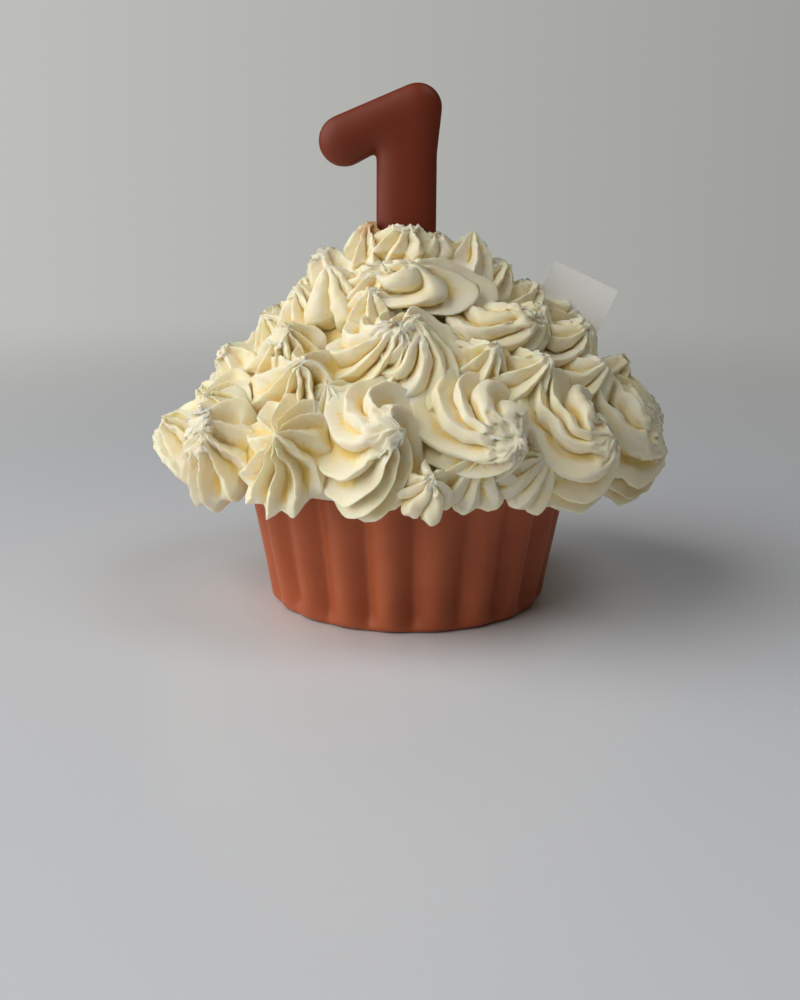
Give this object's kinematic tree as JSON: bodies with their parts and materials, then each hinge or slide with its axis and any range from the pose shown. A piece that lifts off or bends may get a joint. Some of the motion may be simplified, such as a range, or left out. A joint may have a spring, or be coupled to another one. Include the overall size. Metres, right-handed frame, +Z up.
{
  "type": "giant cupcake cake",
  "caption": "Giant cupcake cake: a fluted chocolate cup, a wide dome of piped cream dollops, a chocolate figure one on top and a small blank card.",
  "frame": {"origin": "centre of the cup's flat base, on the surface the cake stands on", "axes": "+Z up; -Y is the front, which the figure one and the card face; +X is to the right seen from the front"},
  "size_m": [0.2427, 0.2286, 0.2372],
  "materials": {
    "cup_chocolate": "satin reddish brown chocolate",
    "piped_cream": "soft pale yellow piped cream, satin on the ribs and grainy at the torn tips",
    "number_chocolate": "satin reddish brown chocolate",
    "card_paper": "plain white card"
  },
  "bodies": {
    "root": {"cup": "cup_chocolate", "cream": "piped_cream", "number_one": "number_chocolate", "tag_card": "card_paper"}
  },
  "joints": []
}
